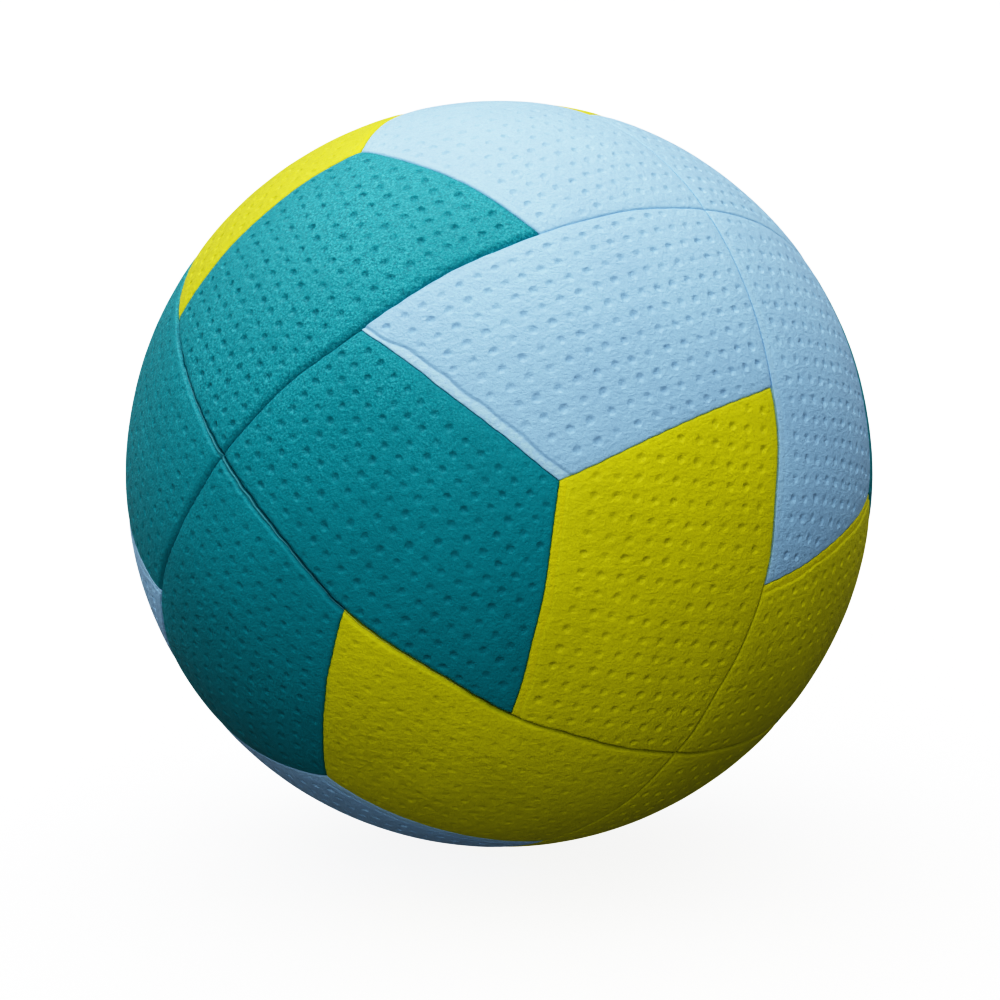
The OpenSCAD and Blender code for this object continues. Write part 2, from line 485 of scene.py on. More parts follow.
def in_dimple(panel, sheet, cell):
    """Where places of the sheet lie in the dimple of a cell, in shares of its radius, and how full
    the dimple is. Each dimple has its own small offset, size and depth. It fades as a whole where
    its middle nears an edge or a lip."""
    sizes, blank = panel.props.handball_dimples, panel.blank
    own = panel.table[cell[..., 0] % TABLE_SIDE, cell[..., 1] % TABLE_SIDE]
    middle = cell + (own[..., :2] - 0.5) * DIMPLE_STRAY
    radius = sizes.radius * (0.92 + 0.16 * own[..., 2:3])
    depth, share = blank.edges(blank.from_sheet((cell - panel.origin) * sizes.pitch))
    depth = (depth - panel.lip_widths(share) * smooth(panel.lips, 0.1, 0.5)).min(axis=-1)
    full = smooth(depth, 0.35 * sizes.margin, sizes.margin) * (0.65 + 0.5 * own[..., 3])
    return (sheet - middle) * sizes.pitch / radius, full * panel.pressed


def dimples(panel, rays):
    """Depth of the dimples, their mask and the places on the sheet. Rows run nearly with the short
    seam that ends on the short side. A dimple is a cup: one less the square of the distance from its
    middle over its radius, with a slightly rounded rim."""
    sizes = panel.props.handball_dimples
    sheet = panel.blank.sheet(rays) / sizes.pitch + panel.origin
    place, full = in_dimple(panel, sheet, np.round(sheet).astype(int))
    pressed = full * np.clip(1 - (place**2).sum(axis=-1), 0, 1) ** 1.2
    return sizes.depth * pressed, pressed, sheet


def waves(rays, chance, lengths, axes):
    """Slow unevenness over the ball: a sum of sine waves, each along its own direction."""
    count = len(lengths)
    ways = unit(chance.normal(size=(count, 3)))
    phase = chance.uniform(0, 2 * math.pi, count)
    swing = np.sin(rays @ ways.T * (2 * math.pi * BALL_RADIUS / np.array(lengths)) + phase)
    return swing @ chance.normal(size=(count, axes)) / math.sqrt(count)


def pulled(rays):
    """How far the pulls move rays: a sum of bell curves, each about a place of the table, with the
    weights that make the sum right at every one of those places."""
    table = np.array(PULLS).T[..., None]
    east, north = np.radians(table[:2])
    right, up = table[2:] * MM
    level = np.concatenate([np.sin(east), -np.cos(east)], axis=1)
    places = np.concatenate([level * np.cos(north), np.sin(north)], axis=1)
    rightward = np.concatenate([np.cos(east), np.sin(east), 0 * east], axis=1)
    upward = np.cross(rightward, -places)
    moves = rightward * right + upward * up

    def near(directions):
        return bell(BALL_RADIUS * np.arccos(np.clip(directions @ places.T, -1, 1)), PULL_REACH)

    return near(rays) @ np.linalg.solve(near(places), moves)


# Between which distances from the valve's axis the seams' and the surface's waves grow to their full size
VALVE_CALM = (7 * MM, 16 * MM)
# Wavelengths of the seams' wander and puckers, and of the surface's swell
WANDER_WAVES = (13 * MM, 17 * MM, 24 * MM, 31 * MM)
PUCKER_WAVES = (2.3 * MM, 3.1 * MM, 4.3 * MM, 6 * MM)
SWELL_WAVES = (5 * MM, 9 * MM, 14 * MM, 21 * MM, 30 * MM)


def strayed(rays, props):
    """Rays moved a little along the surface, and the surface's slow rise and fall there. Both
    are the same for every panel, so neighbours keep their gap, and both die out at the valve."""
    chance = np.random.default_rng(props.handball_dimples.seed)
    layout = props.handball_layout
    near = np.arccos(np.clip(rays @ VALVE_AXIS, -1, 1)) * BALL_RADIUS
    calm = smooth(near, *VALVE_CALM)[..., None]
    stray = layout.wander * waves(rays, chance, WANDER_WAVES, 3)
    stray += layout.pucker * waves(rays, chance, PUCKER_WAVES, 3)
    swell = waves(rays, chance, SWELL_WAVES, 1)
    moved = unit(rays + (stray * calm + pulled(rays)) / BALL_RADIUS)
    return moved, (swell * calm * props.handball_relief.swell)[..., 0]


def face_points(panel, rays):
    """A panel's outer surface along the given rays: the points, what each is part of, and its
    place on the leather sheet."""
    drop, masks = edge_relief(panel, rays)
    dent, dimple, sheet = dimples(panel, rays)
    lying, height = strayed(rays @ panel.place.T, panel.props)
    radius = BALL_RADIUS - drop - dent + height
    return lying * radius[..., None], np.stack([dimple, *masks], axis=-1), sheet


def grid_faces(index, wrap):
    """The four-cornered faces of a grid of vertex numbers. A wrapped grid closes on itself."""
    if wrap:
        index = np.concatenate([index, index[:, :1]], axis=1)
    faces = np.stack([index[:-1, :-1], index[1:, :-1], index[1:, 1:], index[:-1, 1:]], axis=-1)
    return faces.reshape(-1, 4)


def rim_loop(index):
    """The numbers of a grid's border, once round it."""
    return np.concatenate([index[:-1, 0], index[-1, :-1], index[:0:-1, -1], index[0, :0:-1]])


def fill_mesh(name, panel, points, faces, sheet, parts):
    """A mesh from whole arrays, with the leather sheet as its UV map and the parts as attributes.
    The pit of a corner is its place in the dimple nearest to its face, and how full that dimple
    is. A face of three corners repeats its last one."""
    three = faces[:, 2] == faces[:, 3]
    sides = np.where(three, 3, 4)
    keep = np.ones(faces.shape, bool)
    keep[three, 3] = False
    corners = faces[keep]
    mesh = bpy.data.meshes.new(name)
    mesh.vertices.add(len(points))
    mesh.vertices.foreach_set("co", points.ravel())
    mesh.loops.add(len(corners))
    mesh.loops.foreach_set("vertex_index", corners)
    mesh.polygons.add(len(faces))
    mesh.polygons.foreach_set("loop_start", np.cumsum(sides) - sides)
    mesh.update(calc_edges=True)
    mesh.uv_layers.new(name="leather").data.foreach_set("uv", sheet[corners].ravel())
    relief = mesh.attributes.new("relief", "FLOAT_COLOR", "POINT")
    relief.data.foreach_set("color", parts[:, :4].ravel())
    mesh.attributes.new("bead", "FLOAT", "POINT").data.foreach_set("value", parts[:, 4].copy())
    cell = np.round(sheet[faces].mean(axis=1)).astype(int)
    place, full = in_dimple(panel, sheet[faces], np.repeat(cell[:, None], 4, axis=1))
    pit = np.concatenate([place, (full * (parts[faces, 3] < 1))[..., None]], axis=-1)
    mesh.attributes.new("pit", "FLOAT_VECTOR", "CORNER").data.foreach_set("vector", pit[keep].ravel())
    mesh.shade_smooth()
    mesh.set_sharp_from_angle(angle=math.radians(62))
    mesh.validate()
    return mesh


# How far down the side, and then how far in over the back, each ring lies
DOWN_SHARES = (0.15, 0.5, 1)
IN_SHARES = (0.28, 0.56, 0.82)
# Height of the panel's back over the solid's
BACK_CLEARANCE = 0.12 * MM
BACK_RADIUS = INNER_RADIUS + BACK_CLEARANCE
# Steps of the mesh beside an edge, and beside one with a bead or a strong lip
EDGE_STEP, FINE_STEP = 0.09 * MM, 0.06 * MM
STRONG_LIP = 0.4


def whole_panel(panel):
    """A panel's closed surface. The face is a grid, finer towards its edges. From its border
    rings go down the side and then inwards over the back, where a fan closes them."""
    blank, place, step = panel.blank, panel.place, panel.props.handball_relief.mesh_step
    lengths = BALL_RADIUS * blank.arcs
    finest = np.where(panel.beaded | (panel.lips > STRONG_LIP), FINE_STEP, EDGE_STEP)
    across = graded((lengths[0] + lengths[2]) / 2, finest[3], finest[1], step)
    down = graded((lengths[1] + lengths[3]) / 2, finest[0], finest[2], step)
    rays = blank.rays(*np.meshgrid(across, down, indexing="ij"))
    face, parts, sheet = face_points(panel, rays)
    index = np.arange(len(across) * len(down)).reshape(len(across), len(down))
    loop = rim_loop(index)
    edge = face.reshape(-1, 3)[loop]
    rings = [index.ravel()[loop]]
    points, start = [face.reshape(-1, 3)], index.size
    middle = place @ blank.middle
    for down_share, in_share in [(share, 0) for share in DOWN_SHARES] + [(1, share) for share in IN_SHARES]:
        radius = np.linalg.norm(edge, axis=1, keepdims=True)
        radius = radius + (BACK_RADIUS - radius) * down_share
        points.append(unit(unit(edge) * (1 - in_share) + middle * in_share) * radius)
        rings.append(start + np.arange(len(loop)))
        start += len(loop)
    points.append(middle[None] * BACK_RADIUS)
    last, centre = rings[-1], np.full(len(loop), start)
    fan = np.stack([last, np.roll(last, -1), centre, centre], 1)
    points = np.concatenate(points)
    top = grid_faces(index, False)
    side = np.concatenate([grid_faces(np.array(rings), True), fan])
    faces = np.concatenate([oriented(points, top, 1), oriented(points, side, -1)])
    return points, faces, *completed(panel, points, sheet, parts)


def oriented(points, faces, way):
    """The faces, turned so that they point away from the ball's centre, or towards it where way
    is negative. The last 200 are read, which lie flat on the ball."""
    corners = points[faces[-200:]]
    normal = np.cross(corners[:, 1] - corners[:, 0], corners[:, 2] - corners[:, 0])
    if (normal * corners[:, 0]).sum() * way > 0:
        return faces
    turned = faces[:, ::-1]
    three = faces[:, 2] == faces[:, 3]
    turned[three] = faces[three][:, [1, 0, 2, 3]]
    return turned


# The parts that fill_mesh writes: dimple, lip, crease, seam and bead; the leather paints shade in the
# dimples, creases and seams and a highlight on the bead's ridges
PARTS, SEAM_PART = 5, 3


def completed(panel, points, sheet, parts):
    """The face's places on the leather sheet and its parts. The side and the back are added, with
    the places that they lie under and with no part but the seam."""
    rest = points[parts.size // PARTS :]
    under = panel.blank.sheet(unit(rest @ panel.place)) / panel.props.handball_dimples.pitch
    seam = np.zeros((len(rest), PARTS))
    seam[:, SEAM_PART] = 1
    return np.concatenate([sheet.reshape(-1, 2), under]), np.concatenate([parts.reshape(-1, PARTS), seam])


# The bevel at the mouth of the valve's hole, and about the angle from there to the panel's edge
MOUTH_BEVEL = 0.6 * MM
FACE_ARC = 0.42


def pierced_panel(panel):
    """The panel with the valve's hole. Every ring runs right round the hole: over the face from
    the hole to the edge, down the side, back under the panel and up the hole's wall."""
    blank, place, step = panel.blank, panel.place, panel.props.handball_relief.mesh_step
    hole = np.linalg.norm(np.cross(node_points(panel.name), VALVE_AXIS), axis=1).min()
    runs = [graded(arc, 0.5 * step, 0.5 * step, 0.95 * step)[:-1] for arc in BALL_RADIUS * blank.arcs]
    zeros = [np.zeros(len(run)) for run in runs]
    across = np.concatenate([runs[0], zeros[1] + 1, 1 - runs[2], zeros[3]])
    down = np.concatenate([zeros[0], runs[1], zeros[2] + 1, 1 - runs[3]])
    border = blank.rays(across, down)
    level = unit(border - (border @ blank.middle)[:, None] * blank.middle)
    angle = math.asin((hole + MOUTH_BEVEL) / BALL_RADIUS)
    mouth = blank.middle * math.cos(angle) + level * math.sin(angle)
    out = graded(BALL_RADIUS * FACE_ARC, EDGE_STEP, EDGE_STEP, 1.1 * step)[:, None, None]
    rays = unit(mouth * (1 - out) + border * out)
    face, parts, sheet = face_points(panel, rays)
    edge, count = face[-1], len(border)
    middle, wall = place @ blank.middle, level @ place.T * hole
    rings = list(face)
    for down_share in DOWN_SHARES:
        radius = np.linalg.norm(edge, axis=1, keepdims=True)
        rings.append(unit(edge) * (radius + (BACK_RADIUS - radius) * down_share))
    rim, bottom = rings[-1], wall + middle * math.sqrt(BACK_RADIUS**2 - hole**2)
    for in_share in IN_SHARES:
        rings.append(unit(rim * (1 - in_share) + bottom * in_share) * BACK_RADIUS)
    top = math.sqrt(BALL_RADIUS**2 - hole**2) - MOUTH_BEVEL
    for height in np.linspace(np.linalg.norm(bottom[0] - wall[0]), top, 4):
        rings.append(wall + middle * height)
    points = np.array(rings).reshape(-1, 3)
    index = np.arange(len(points)).reshape(len(rings), count)
    index = np.concatenate([index, index[:1]])
    faces = grid_faces(index, True)
    outer = faces[: (len(face) - 1) * count]
    turned = oriented(points, outer, 1)
    if turned is not outer:
        faces = faces[:, ::-1]
    return points, faces, *completed(panel, points, sheet, parts)


class Wire:
    """A number socket, whose sums and products add Math nodes."""

    def __init__(self, nodes, socket):
        self.nodes, self.socket = nodes, socket

    def maths(self, operation, *numbers):
        inputs = dict(enumerate(numbers))
        return self.nodes.node("ShaderNodeMath", {"operation": operation}, inputs, 0)

    def sine(self):
        return self.maths("SINE", self)

    def at_least(self, other):
        return self.maths("MAXIMUM", self, other)

    def __add__(self, other):
        return self.maths("ADD", self, other)

    def __sub__(self, other):
        return self.maths("SUBTRACT", self, other)

    def __rsub__(self, other):
        return self.maths("SUBTRACT", other, self)

    def __mul__(self, other):
        return self.maths("MULTIPLY", self, other)

    def __pow__(self, other):
        return self.maths("POWER", self, other)

    __radd__ = __add__
    __rmul__ = __mul__


class Nodes:
    """A node tree, with its nodes set up and linked in one call each."""

    def __init__(self, tree):
        self.tree = tree

    def node(self, kind, settings, inputs, output):
        """Adds a node, sets it up, fills its sockets with values or links, and gives an output."""
        made = self.tree.nodes.new(kind)
        for name, value in settings.items():
            setattr(made, name, value)
        for name, value in inputs.items():
            self.feed(made.inputs[name], value)
        return Wire(self, made.outputs[output])

    def feed(self, socket, value):
        """Links a wire to a socket, or sets the socket to a plain value."""
        if isinstance(value, Wire):
            self.tree.links.new(value.socket, socket)
        else:
            socket.default_value = value

    def along(self, place, way):
        """How far a place lies along a way: their dot product."""
        settings = {"operation": "DOT_PRODUCT"}
        return self.node("ShaderNodeVectorMath", settings, {0: place, 1: way}, "Value")

    def ramp(self, value, low, high, first=0.0, last=1.0, steps="LINEAR"):
        """The first number up to low, the last one from high on, and a ramp between."""
        inputs = {0: value, 1: low, 2: high, 3: first, 4: last}
        return self.node("ShaderNodeMapRange", {"interpolation_type": steps}, inputs, 0)

    def between(self, value, low, high, first=0.0, last=1.0):
        """The same with a smooth step between."""
        return self.ramp(value, low, high, first, last, "SMOOTHSTEP")


class Finish(Nodes):
    """A material and the nodes behind its surface."""

    def __init__(self, name):
        self.material = bpy.data.materials.new(name)
        self.material.use_nodes = True
        super().__init__(self.material.node_tree)
        self.surface = self.tree.nodes["Principled BSDF"]
        self.place = self.node("ShaderNodeTexCoord", {}, {}, "Object")

    def attribute(self, name, output):
        """An attribute that the mesh holds."""
        return self.node("ShaderNodeAttribute", {"attribute_name": name}, {}, output)

    def split(self, kind, value):
        """The three numbers of a colour or of a vector."""
        outputs = self.node(kind, {}, {0: value}, 0).socket.node.outputs
        return [Wire(self, output) for output in outputs]

    def noise(self, scale, detail=3.0, roughness=0.5, stretch=None):
        """Soft noise of that many waves a metre, from 0 to 1, with the place stretched first."""
        at = self.place
        if stretch:
            at = self.node("ShaderNodeMapping", {}, {"Vector": at, "Scale": stretch}, 0)
        inputs = {"Vector": at, "Scale": scale, "Detail": detail, "Roughness": roughness}
        return self.node("ShaderNodeTexNoise", {}, inputs, 0)

    def cells(self, scale):
        """Distance to the nearest point of a scattered set."""
        return self.node("ShaderNodeTexVoronoi", {}, {"Vector": self.place, "Scale": scale}, "Distance")

    def blend(self, share, first, second):
        """A colour between two, by a share."""
        colours = [c if isinstance(c, Wire) else (*c, 1)[:4] for c in (first, second)]
        inputs = {0: share, 6: colours[0], 7: colours[1]}
        return self.node("ShaderNodeMix", {"data_type": "RGBA"}, inputs, 2)

    def shade(self, share, colour, tint):
        """A colour multiplied by a tint, as far as the share says."""
        settings = {"data_type": "RGBA", "blend_type": "MULTIPLY"}
        return self.node("ShaderNodeMix", settings, {0: share, 6: colour, 7: (*tint, 1)}, 2)

    def bump(self, height, distance, before=None):
        """A relief of that height in metres where the height socket goes from 0 to 1."""
        inputs = {"Height": height, "Distance": distance, "Strength": 1.0}
        if before is not None:
            inputs["Normal"] = before
        return self.node("ShaderNodeBump", {}, inputs, 0)

    def done(self, colour, roughness, **rest):
        """Feeds the surface's sockets and gives the material."""
        for name, value in {"Base Color": colour, "Roughness": roughness, **rest}.items():
            self.feed(self.surface.inputs[name], value)
        return self.material


# Each leather's heights of pebbles, fine grain and crumples, how its crumples are squeezed, how strong the
# painted glints and painted shade on its grain are, and how much painted shade darkens its dimples and its
# seams
GRAINS = {
    "teal": dict(
        pebbles=0.5, grain=2.1, crumples=0.4, squeeze=(0.6, 0.6, 0.6), painted_glints_and_shade=0.9, dimples=0.4, seams=0.42
    ),
    "yellow": dict(
        pebbles=0.3, grain=1.7, crumples=0.5, squeeze=(0.8, 0.8, 1.5), painted_glints_and_shade=0.25, dimples=0.24, seams=0.3
    ),
    "light_blue": dict(
        pebbles=0.3, grain=1.8, crumples=0.45, squeeze=(1, 1, 2), painted_glints_and_shade=0.2, dimples=0.14, seams=0.16
    ),
}
# How far the leather dips at a seam, from where its skin's thickness is counted down to the foam
SEAM_DIP = 0.8 * MM
# The way from which the light falls whose glints and shade on the grain are painted
LIT_WAY = (-0.3, 0, 1)


def leather(name, face, colours, crispness, grains):
    """Coated leather with a fine grain and a few soft crumples, with crisp dimples and smooth lips,
    and foam under it. Pale and dark spots of the grain are painted glints and painted shade where it
    is turned up to the light. The dimples, the lips' creases and the seams are darkened with painted
    shade, and the bead's ridges are lightened with a painted highlight. A dimple is a cup: one less
    the squares of the place in it, and 0 outside."""
    f = Finish(name)
    _, lip, crease = f.split("ShaderNodeSeparateColor", f.attribute("relief", "Color"))
    seam, bead = f.attribute("relief", "Alpha"), f.attribute("bead", "Fac")
    across, down, full = f.split("ShaderNodeSeparateXYZ", f.attribute("pit", "Vector"))
    dimple = (1 - across * across - down * down).at_least(0.0) * full
    cloud = f.between(f.noise(55, 4, 0.6), 0.3, 0.7)
    fleck = f.between(f.noise(1500, 2, 0.6), 0.35, 0.65)
    # Painted glints and painted shade: the grain is lightened and darkened in small spots where it is turned
    # up to the light
    lit = f.between(f.along(f.place, LIT_WAY), -0.01, 0.065)
    lit = lit * (1 - lip) * (0.45 + cloud * 0.55) * grains["painted_glints_and_shade"]
    speck = f.noise(2300, 3, 0.7)
    colour = f.blend(cloud, [c * 0.96 for c in face], [min(c * 1.03, 1) for c in face])
    colour = f.shade(fleck * 0.3, colour, (0.86, 0.87, 0.88))
    # Painted shade, then painted glints, on the grain's spots that face the light
    colour = f.shade(f.between(speck, 0.5, 0.38) * lit, colour, (0.45, 0.55, 0.58))
    pale = [min(c * 1.05 + more, 1) for c, more in zip(face, (0.1, 0.16, 0.16))]
    colour = f.blend(f.between(speck, 0.5, 0.62) * lit, colour, pale)
    colour = f.blend(lip, colour, [min(c * tint, 1) for c, tint in zip(face, colours.lip_tint)])
    blotch = f.between(f.noise(1100, 2, 0.6), 0.4, 0.6)
    colour = f.shade(lip * blotch * 0.5, colour, (0.82, 0.85, 0.98))
    # Painted highlight along the bead's thin ridges
    colour = f.blend(bead * 0.9, colour, [min(c * 0.9 + 0.21, 1) for c in face])
    # Painted shade in the lips' creases and in the groove where the seam gapes
    colour = f.shade(crease * 0.15, colour, (0.6, 0.64, 0.7))
    # Painted shade in the dimples
    colour = f.shade(dimple * grains["dimples"], colour, (0.6, 0.64, 0.68))
    # Painted shade along the seams and over the panel's sides and back
    colour = f.shade(seam * grains["seams"], colour, (0.4, 0.45, 0.5))
    radius = f.node("ShaderNodeVectorMath", {"operation": "LENGTH"}, {0: f.place}, "Value")
    top = BALL_RADIUS - SEAM_DIP - colours.skin
    foam = f.shade(f.between(f.cells(1400), 0.1, 0.5), (*colours.foam, 1), (0.8, 0.8, 0.78))
    skin = f.between(radius, top - 0.05 * MM, top + 0.05 * MM)
    colour = f.blend(skin, foam, colour)
    pebble = f.between(f.noise(900, 2, 0.5), 0.3, 0.7)
    grain = f.noise(1900, 3, 0.7)
    crumples = f.between(f.noise(600, 2, 0.5, grains["squeeze"]), 0.42, 0.62)
    fine = pebble * grains["pebbles"] + grain * grains["grain"] + crumples * grains["crumples"]
    normal = f.bump(1 - dimple, crispness, f.bump(fine, 0.1 * MM))
    rough = 0.28 + grain * 0.16 + cloud * 0.05 + seam * 0.2 + (1 - skin) * 0.35
    return f.done(colour, rough, Normal=normal, IOR=1.45)


def moulded_rubber(name, tint, dust):
    """Black rubber with a fine mould texture and a little dust."""
    f = Finish(name)
    haze = f.between(f.noise(120, 5, 0.65), 0.45, 0.75)
    speck = f.between(f.cells(900), 0.0, 0.35)
    colour = f.blend(haze * 0.5, tint, dust)
    colour = f.shade(speck, colour, (0.9, 0.9, 0.92))
    height = speck * 0.4 + f.noise(1800, 3)
    return f.done(colour, 0.55 + haze * 0.25, Normal=f.bump(height, 0.03 * MM), IOR=1.5)


def wound_thread(name, light, dark):
    """Thread wound over the ball in many directions, soaked in latex."""
    f = Finish(name)
    strands = 0.0
    for way in ((0, 0, 0), (0.9, 0.3, 0), (0.4, 1.2, 0.5), (1.9, 0.2, 1.1), (0.2, 2.2, 0.8)):
        at = f.node("ShaderNodeMapping", {}, {"Vector": f.place, "Rotation": way}, 0)
        inputs = {"Vector": at, "Scale": 420.0, "Distortion": 1.2, "Detail": 1.0, "Detail Scale": 0.6}
        strands = f.node("ShaderNodeTexWave", {"bands_direction": "Z"}, inputs, 1).at_least(strands)
    fibre = f.noise(3200, 2)
    colour = f.blend(strands**1.6, dark, light)
    colour = f.shade(fibre * 0.4, colour, (0.85, 0.83, 0.78))
    return f.done(colour, 0.7 + fibre * 0.2, Normal=f.bump(strands + fibre * 0.2, 0.12 * MM))


def powdered_butyl(name, tint, powder):
    """The bladder's butyl rubber, powdered so that it doesn't stick."""
    f = Finish(name)
    cloud = f.between(f.noise(60, 5, 0.7), 0.42, 0.72)
    fine = f.noise(1500, 4, 0.7)
    colour = f.blend(cloud * (0.25 + fine * 0.3), tint, powder)
    ripple = f.noise(160, 2) + fine * 0.1
    return f.done(colour, 0.42 + cloud * 0.3, Normal=f.bump(ripple, 0.1 * MM))


# Distance between the fine rings round the valve
RING_PITCH = 0.55 * MM


def valve_rubber(name, tint):
    """Turned and moulded rubber with fine rings round the valve's axis."""
    f = Finish(name)
    rings = (f.along(f.place, VALVE_AXIS) * (2 * math.pi / RING_PITCH)).sine()
    wear = f.noise(700, 4, 0.6)
    colour = f.blend(wear * 0.6, tint, [c * 1.9 + 0.01 for c in tint])
    return f.done(colour, 0.4 + wear * 0.2, Normal=f.bump(rings * 0.5 + wear, 0.02 * MM))


def dress(node, material):
    """Puts a material on a CAD node, whose mesh stays as it is."""
    mesh = frame["nodes"][node].data
    if not mesh.materials:
        mesh.materials.append(material)
    for i in range(len(mesh.materials)):
        mesh.materials[i] = material


def cover_panels(context, colour):
    """Makes the eight panels of one colour and hides the CAD panels that they stand for."""
    colours = context.scene.handball_colours
    face = getattr(colours, colour)[:]
    crispness = context.scene.handball_dimples.crispness
    material = leather(colour + "_leather", face, colours, crispness, GRAINS[colour])
    for at in range(8):
        panel = CoverPanel(context.scene, colour, at)
        pierced = BALL_RADIUS * math.acos(panel.place @ panel.blank.middle @ VALVE_AXIS) < 1 * MM
        surface = pierced_panel(panel) if pierced else whole_panel(panel)
        name = panel.name + "_leather"
        mesh = fill_mesh(name, panel, *surface)
        mesh.materials.append(material)
        piece = bpy.data.objects.new(name, mesh)
        context.scene.collection.objects.link(piece)
        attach(piece, "root")
        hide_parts(panel.name)


class HANDBALL_OT_teal_panels(bpy.types.Operator):
    """Make the eight teal cover panels"""

    bl_idname = "handball.teal_panels"
    bl_label = "Teal Panels"

    def execute(self, context):
        cover_panels(context, "teal")
        return {"FINISHED"}


class HANDBALL_OT_yellow_panels(bpy.types.Operator):
    """Make the eight yellow cover panels"""

    bl_idname = "handball.yellow_panels"
    bl_label = "Yellow Panels"

    def execute(self, context):
        cover_panels(context, "yellow")
        return {"FINISHED"}


class HANDBALL_OT_light_blue_panels(bpy.types.Operator):
    """Make the eight light blue cover panels, one with the valve's hole"""

    bl_idname = "handball.light_blue_panels"
    bl_label = "Light Blue Panels"

    def execute(self, context):
        cover_panels(context, "light_blue")
        return {"FINISHED"}


class HANDBALL_OT_inner_layers(bpy.types.Operator):
    """Finish the carcass, the thread winding and the bladder"""

    bl_idname = "handball.inner_layers"
    bl_label = "Inner Layers"

    def execute(self, context):
        dress("carcass", moulded_rubber("carcass_rubber", (0.022, 0.022, 0.024), (0.1, 0.1, 0.1)))
        dress("winding", wound_thread("winding_thread", (0.7, 0.66, 0.55), (0.3, 0.26, 0.2)))
        dress("bladder", powdered_butyl("bladder_butyl", (0.02, 0.018, 0.018), (0.32, 0.31, 0.3)))
        return {"FINISHED"}


class HANDBALL_OT_valve(bpy.types.Operator):
    """Finish the valve's housing and its core"""

    bl_idname = "handball.valve"
    bl_label = "Valve"

    def execute(self, context):
        dress("valve_housing", valve_rubber("housing_rubber", (0.02, 0.02, 0.021)))
        dress("valve_core", valve_rubber("core_rubber", (0.035, 0.033, 0.032)))
        return {"FINISHED"}


class HANDBALL_OT_studio(bpy.types.Operator):
    """Make the floor, the light and the camera"""

    bl_idname = "handball.studio"
    bl_label = "Studio"

    def execute(self, context):
        look = context.scene.handball_studio
        lay_floor(context, look)
        light_room(context, look)
        set_camera(context, look)
        set_contrast(context)
        return {"FINISHED"}


# The floor's outer and inner radius in metres, and how many sides they have
FLOOR_RADII = (12, 1)
FLOOR_SIDES = 96
# How strongly the floor glows, so that it is as pale as the room behind it
FLOOR_GLOW = 0.72


def lay_floor(context, look):
    """A round pale floor under the ball: a ring of a flat disc, closed by a fan."""
    turns = np.linspace(0, 2 * math.pi, FLOOR_SIDES, endpoint=False)
    ring = np.stack([np.cos(turns), np.sin(turns), np.zeros(FLOOR_SIDES)], axis=1)
    points = np.concatenate([ring * radius for radius in FLOOR_RADII] + [np.zeros((1, 3))])
    points[:, 2] = -BALL_RADIUS
    outer = np.arange(FLOOR_SIDES)
    inner = outer + FLOOR_SIDES
    faces = grid_faces(np.stack([inner, outer]), True).tolist()
    centre = np.full(FLOOR_SIDES, 2 * FLOOR_SIDES)
    faces += np.stack([inner, np.roll(inner, -1), centre], axis=1).tolist()
    mesh = bpy.data.meshes.new("floor")
    mesh.from_pydata(points.tolist(), [], faces)
    f = Finish("floor_paint")
    glow = {"Emission Color": (1, 1, 1, 1), "Emission Strength": FLOOR_GLOW}
    f.done((*look.floor, 1), 0.6 + f.noise(30) * 0.1, **glow)
    mesh.materials.append(f.material)
    floor = bpy.data.objects.new("floor", mesh)
    floor.visible_diffuse = False
    floor.visible_glossy = False
    context.scene.collection.objects.link(floor)


# Ways from the ball to the two fills, to the middle of the light overhead and to the mirrored lamp
FRONT_WAY, LEFT_WAY = (-0.058, -1, 0.447), (-1, -0.35, -0.6)
CEILING_WAY, LAMP_WAY = unit(np.array([[-0.155, 0.52, 1], [-0.25, 0.1, 1]]))
FILL_SPREAD = math.radians(60)
# Shares of the way up between which the light overhead, the mirrored lamp and the horizon grow
CEILING_RISE, LAMP_RISE, HORIZON_RISE = (0.188, 0.95), (0.2, 1.0), (-0.5, 0.1)
# How fast the lamp fades from its middle, and what glossy leather mirrors from under the horizon
LAMP_FALLOFF, MIRRORED_GROUND = 4.0, 0.03


def light_room(context, look):
    """Fill lights from the front and the lower left, and a room with a wide soft light overhead,
    dark below. Glossy leather mirrors a lamp over a pale horizon instead, and the camera sees the
    room as a plain pale backdrop."""
    fills = (("front_fill", look.front, FRONT_WAY), ("left_fill", look.left, LEFT_WAY))
    for name, energy, way in fills:
        sun = bpy.data.lights.new(name, "SUN")
        sun.energy = energy
        sun.angle = FILL_SPREAD
        fill = bpy.data.objects.new(name, sun)
        fill.rotation_euler = Vector(way).to_track_quat("Z", "Y").to_euler()
        fill.visible_glossy = False
        context.scene.collection.objects.link(fill)
    world = bpy.data.worlds.new("room")
    world.use_nodes = True
    context.scene.world = world
    room = Nodes(world.node_tree)
    way = room.node("ShaderNodeTexCoord", {}, {}, "Generated")
    light = room.between(room.along(way, CEILING_WAY), *CEILING_RISE, look.ground, look.ceiling)
    up = room.along(way, LAMP_WAY)
    lamp = room.ramp(up, *LAMP_RISE) ** LAMP_FALLOFF * look.softbox
    mirrored = lamp + room.ramp(up, *HORIZON_RISE, MIRRORED_GROUND, look.horizon)
    glossy = room.node("ShaderNodeLightPath", {}, {}, "Is Glossy Ray")
    light = room.node("ShaderNodeMix", {}, {0: glossy, 2: light, 3: mirrored}, 0)
    seen = room.node("ShaderNodeLightPath", {}, {}, "Is Camera Ray")
    light = room.node("ShaderNodeMix", {}, {0: seen, 2: light, 3: look.backdrop}, 0)
    background = room.tree.nodes["Background"]
    background.inputs["Color"].default_value = (1, 1, 1, 1)
    room.feed(background.inputs["Strength"], light)


# The cubic of set_contrast, its highest power first, and the lights that it is worked out for
CONTRAST = (-0.0309, -0.2383, 1.1828, 1.2389)
LIGHTS = np.geomspace(1 / 150, 0.8, 16)


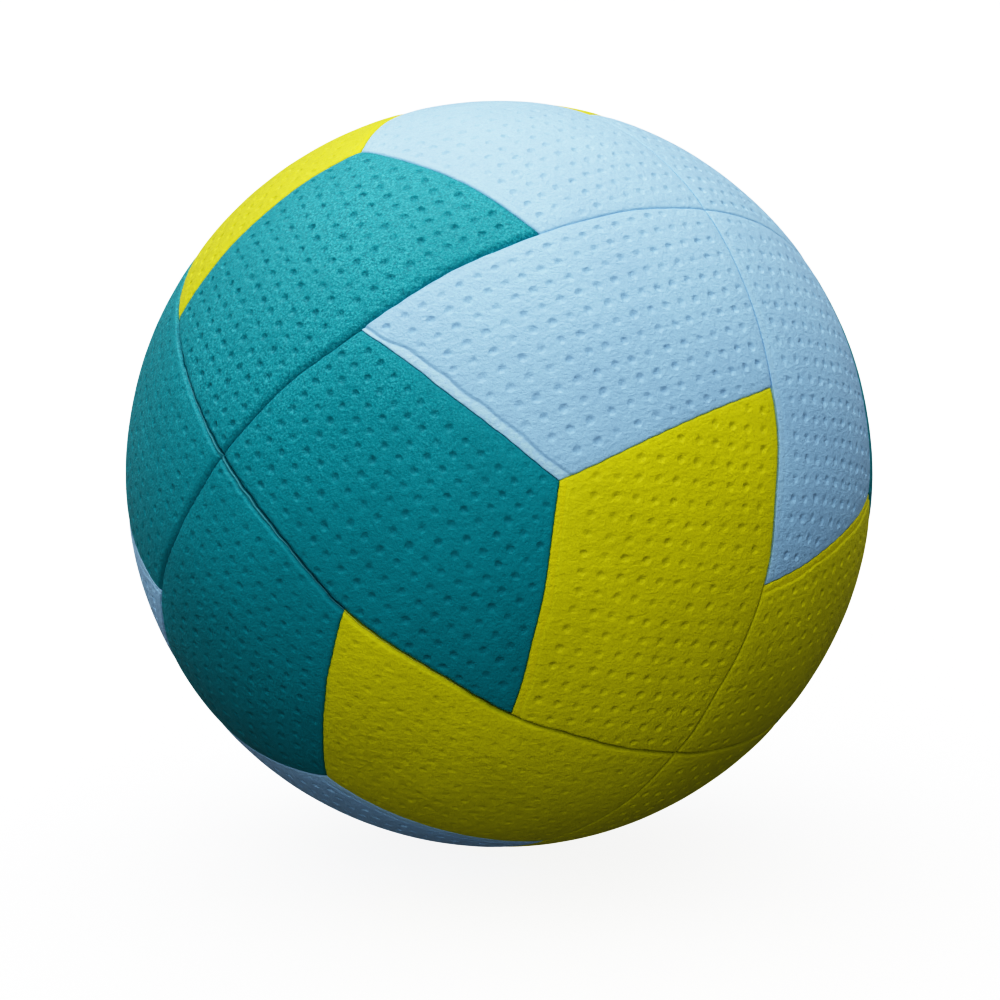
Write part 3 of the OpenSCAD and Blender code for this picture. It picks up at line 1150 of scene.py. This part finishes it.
def set_contrast(context):
    """A plain view of the scene with the contrast of a studio photograph, which has a soft toe and
    a soft shoulder. A light comes out as 1 less e to the power of -g, and the logarithm of g is a
    cubic of the light's logarithm."""
    view = context.scene.view_settings
    view.view_transform = "Standard"
    view.use_curve_mapping = True
    curve = view.curve_mapping.curves[3]
    for light, shown in zip(LIGHTS, 1 - np.exp(-np.exp(np.polyval(CONTRAST, np.log(LIGHTS))))):
        curve.points.new(light, shown)
    view.curve_mapping.update()


def set_camera(context, look):
    """A long lens at the ball, from the front and a little above."""
    data = bpy.data.cameras.new("camera")
    data.lens = look.lens
    data.shift_x, data.shift_y = look.shift
    data.clip_end = 5 * FLOOR_RADII[0]
    camera = bpy.data.objects.new("camera", data)
    back = Vector((0, -math.cos(look.elevation), math.sin(look.elevation)))
    camera.location = back * look.distance
    camera.rotation_euler = (-back).to_track_quat("-Z", "Y").to_euler()
    context.scene.collection.objects.link(camera)
    context.scene.camera = camera


class HANDBALL_PT_tools(bpy.types.Panel):
    """Lists the handball's operators and its sizes"""

    bl_label = "Handball"
    bl_space_type = "VIEW_3D"
    bl_region_type = "UI"
    bl_category = "Handball"

    def draw(self, context):
        for operator in OPERATORS:
            self.layout.operator(operator.bl_idname)
        for name, group in GROUPS.items():
            box = self.layout.box()
            box.label(text=group.__doc__)
            for prop in group.__annotations__:
                box.prop(getattr(context.scene, name), prop)


OPERATORS = (
    HANDBALL_OT_studio,
    HANDBALL_OT_teal_panels,
    HANDBALL_OT_yellow_panels,
    HANDBALL_OT_light_blue_panels,
    HANDBALL_OT_inner_layers,
    HANDBALL_OT_valve,
)


def register():
    """Registers the classes and hangs the property groups on the scene."""
    for made in (*GROUPS.values(), *OPERATORS, HANDBALL_PT_tools):
        bpy.utils.register_class(made)
    for name, group in GROUPS.items():
        setattr(bpy.types.Scene, name, PointerProperty(type=group))


def unregister():
    """Takes the property groups and the classes out again."""
    for name in GROUPS:
        delattr(bpy.types.Scene, name)
    for made in (HANDBALL_PT_tools, *OPERATORS, *reversed(GROUPS.values())):
        bpy.utils.unregister_class(made)


def main():
    """Makes the whole scene."""
    register()
    bpy.ops.handball.studio()
    bpy.ops.handball.teal_panels()
    bpy.ops.handball.yellow_panels()
    bpy.ops.handball.light_blue_panels()
    bpy.ops.handball.inner_layers()
    bpy.ops.handball.valve()


if __name__ == "__main__":
    main()
